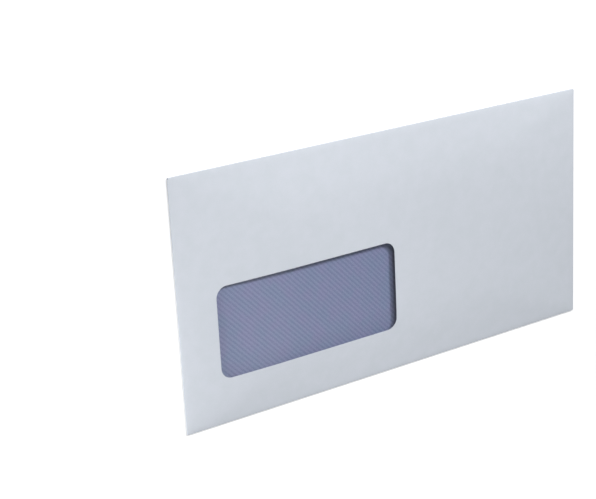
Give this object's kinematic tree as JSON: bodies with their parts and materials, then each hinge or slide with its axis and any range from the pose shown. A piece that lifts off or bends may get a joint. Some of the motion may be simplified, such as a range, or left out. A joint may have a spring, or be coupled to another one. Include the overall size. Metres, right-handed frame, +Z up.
{
  "type": "window envelope",
  "caption": "Long paper envelope with a rounded clear window at its lower left, glued side flaps, a hatched inside and a seal flap folded down behind.",
  "frame": {"origin": "on the surface that the envelope lies on, under the middle of its outline", "axes": "+X along the long side, from the window end to the plain end; +Y from the bottom fold to the fold of the seal flap; +Z up, out of the front panel with the window"},
  "size_m": [0.22, 0.11, 0.0031],
  "materials": {
    "envelope_paper": "matte",
    "clear_film": "gloss",
    "printed_hatch": "matte"
  },
  "bodies": {
    "root": {"paper_body": "envelope_paper", "window_film": "clear_film", "inside_print": "printed_hatch"}
  },
  "joints": []
}
